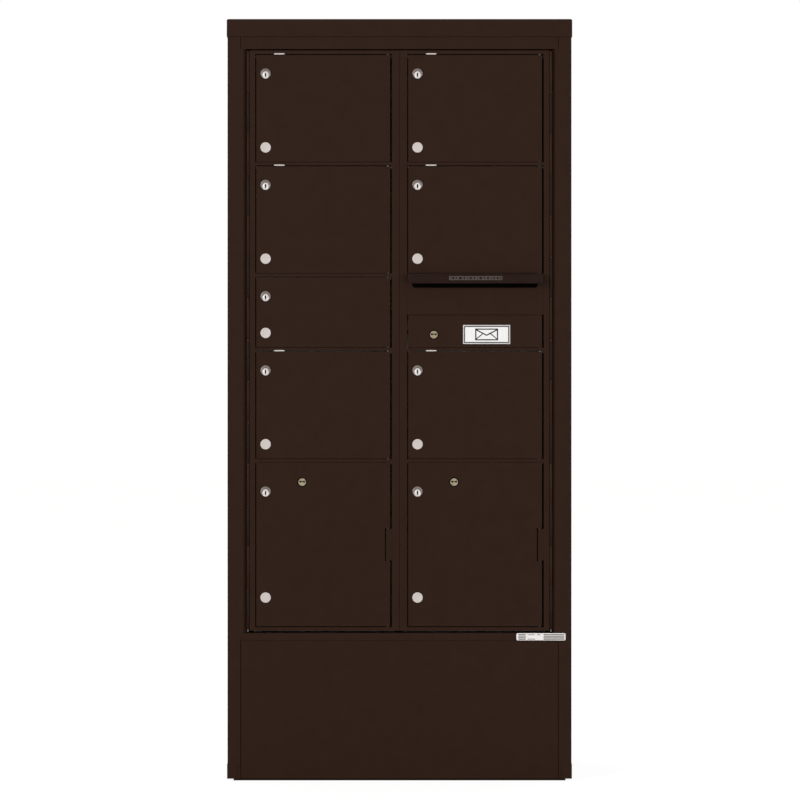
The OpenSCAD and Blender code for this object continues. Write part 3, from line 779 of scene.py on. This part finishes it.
white_plate = printed("white_plate", (0.93, 0.925, 0.92), (0.97, 0.965, 0.96), 0.4)
rim_grey = printed("rim_grey", (0.58, 0.56, 0.55), (0.64, 0.62, 0.61), 0.45)
dark_ink = printed("dark_ink", (0.010, 0.009, 0.009), (0.018, 0.016, 0.016), 0.5, gloss=0.2)
sx0, sx1, sz0, sz1 = np.array([152.7, 264.8, 1046.8, 1091.6]) * MM
sign_y = face_y - 0.8 * MM
sign = made("sign_plate", white_plate,
            plate(frame_path(sx0, sz0, sx1, sz1, 0), sign_y, face_y), bevel=0.25 * MM)
rim = made("sign_rim", rim_grey,
           stroke(frame_path(sx0, sz0, sx1, sz1, 1.0 * MM), 1.7 * MM,
                  sign_y - 0.06 * MM, sign_y + 0.05 * MM, closed=True))
ex, ez = (sx0 + sx1) / 2, (sz0 + sz1) / 2
ew, eh = 26.0 * MM, 12.8 * MM
thin, thick = 2.3 * MM, 2.8 * MM
line_y = sign_y - 0.05 * MM
envelope = [
    stroke(frame_path(sx0, sz0, sx1, sz1, 3.3 * MM), thin, line_y, sign_y, closed=True),
    stroke(frame_path(ex - ew, ez - eh, ex + ew, ez + eh, 0), thick, line_y, sign_y,
           closed=True),
    stroke([(ex - ew, ez + eh - 1 * MM), (ex, ez - 2 * MM), (ex + ew, ez + eh - 1 * MM)],
           thick, line_y - 0.01 * MM, sign_y),
    stroke([(ex - ew, ez - eh + 1 * MM), (ex - 8 * MM, ez + 3 * MM)], thin,
           line_y + 0.01 * MM, sign_y),
    stroke([(ex + ew, ez - eh + 1 * MM), (ex + 8 * MM, ez + 3 * MM)], thin,
           line_y + 0.01 * MM, sign_y)]
drawing = made("sign_drawing", dark_ink, *envelope)
for part in (sign, rim, drawing):
    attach(part, "door_mail")


# ---- Number discs ----
# Round blank discs of pale vinyl, one below each tenant lock near the door's
# bottom edge, with a rolled rim.

disc_vinyl = printed("disc_vinyl", (0.625, 0.568, 0.540), (0.685, 0.625, 0.595), 0.5)
disc_r = 12.45 * MM
tenant_disc_rise = 34.35 * MM
parcel_disc_rise = 68.8 * MM
for name in keyed:
    x = middle_of("lock_barrel_" + name)[0]
    rise = parcel_disc_rise if name.startswith("parcel") else tenant_disc_rise
    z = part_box("door_" + name)[0].z + rise
    disc = made("number_disc_" + name, disc_vinyl, turned(
        (0, face_y - 0.75 * MM, x, z), (9.6 * MM, face_y - 0.75 * MM, x, z),
        (10.2 * MM, face_y - 0.9 * MM, x, z), (11.2 * MM, face_y - 0.95 * MM, x, z),
        (12.0 * MM, face_y - 0.8 * MM, x, z), (disc_r, face_y - 0.4 * MM, x, z),
        (disc_r, face_y, x, z), (0, face_y, x, z), around=64), sharp=50)
    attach(disc, "door_" + name)


# ---- Bumper clips ----
# White nylon pads pressed on the rails' lower edges, over the doors that are
# three units high; each has a lip that the closing door meets.

white_nylon = printed("white_nylon", (0.64, 0.60, 0.57), (0.72, 0.68, 0.65), 0.42)
wide, tall = 13.0 * MM, 1.5 * MM
clip_inset, clip_rise = 55.2 * MM, 2.75 * MM
# A pad's outline is a long oval with nearly square ends
oval = ((np.abs(np.sin(round_angle)) / wide) ** 5
        + (np.abs(np.cos(round_angle)) / tall) ** 5) ** (-1 / 5)
for name in ("l1", "l2", "l4", "r1", "r2", "r3"):
    low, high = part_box("door_" + name)
    x = low.x + clip_inset
    z = high.z + clip_rise
    pad = made("bumper_clip_" + name, white_nylon, turned(
        (0, face_y - 0.95 * MM, x, z), (oval * 0.8, face_y - 0.95 * MM, x, z),
        (oval * 0.94, face_y - 0.8 * MM, x, z), (oval, face_y - 0.4 * MM, x, z),
        (oval, face_y, x, z), (0, face_y, x, z), around=96), sharp=50)
    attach(pad, "master_left" if name.startswith("l") else "master_right")


# ---- Label on the sill ----
# A blank white vinyl label with rounded corners and plain grey bars, stuck over
# the sill and the foot of the right post.

label_vinyl = printed("label_vinyl", (0.88, 0.87, 0.86), (0.94, 0.93, 0.92), 0.38)
grey_ink = printed("grey_ink", (0.14, 0.12, 0.115), (0.19, 0.165, 0.155), 0.5)
lx0, lx1, lz0, lz1 = np.array([280.0, 397.8, 336.4, 353.5]) * MM
round_r = 3.0 * MM
sill_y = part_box("sill_rail")[0].y
label = made("sill_label", label_vinyl, plate(np.concatenate([
    arc(lx1 - round_r, lz1 - round_r, round_r, 0, 90, 7),
    arc(lx1 - round_r, lz0 + round_r, round_r, 90, 180, 7),
    arc(lx0 + round_r, lz0 + round_r, round_r, 180, 270, 7),
    arc(lx0 + round_r, lz1 - round_r, round_r, 270, 360, 7)]),
    sill_y - 0.2 * MM, sill_y - 0.01 * MM))
# Each block of bars: its place along the label, its width, the bars' thickness
# and how far each lies below the label's top
bars = []
for x, width, thick, rows in ((4.6, 17.8, 2.2, (3.0, 6.9, 10.8, 14.4)),
                              (27, 17, 1.6, (3.6,)), (27, 18, 1.6, (14.2,)),
                              (50, 8, 1.6, (3.6,)), (65, 50, 2.3, (3.4, 7.2, 11.0, 14.4))):
    for row in rows:
        z = lz1 - row * MM
        bars.append(stroke([(lx0 + x * MM, z), (lx0 + (x + width) * MM, z)], thick * MM,
                           sill_y - 0.24 * MM, sill_y - 0.1 * MM))
bars = made("sill_label_bars", grey_ink, *bars)
for part in (label, bars):
    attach(part, "cabinet")


# ---- Rear rivets ----
# Domed blind rivets that hold the back sheet to the side panels' rear flanges.

low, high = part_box("side_panel_right")
rivet_x = high.x - 12.0 * MM
end_gap = 90.0 * MM
heights = np.linspace(low.z + end_gap, high.z - end_gap, 11)
heads = []
for side in (-1, 1):
    for z in heights:
        x = side * rivet_x
        heads.append(turned(
            (0, high.y - 0.3 * MM, x, z), (3.6 * MM, high.y - 0.3 * MM, x, z),
            (3.6 * MM, high.y + 0.15 * MM, x, z), (3.1 * MM, high.y + 0.7 * MM, x, z),
            (2.0 * MM, high.y + 1.15 * MM, x, z), (1.0 * MM, high.y + 1.25 * MM, x, z),
            (0.9 * MM, high.y + 0.9 * MM, x, z), (0, high.y + 0.9 * MM, x, z), around=20))
rivets = made("rear_rivets", bronze_coat, *heads, sharp=50)
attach(rivets, "cabinet")
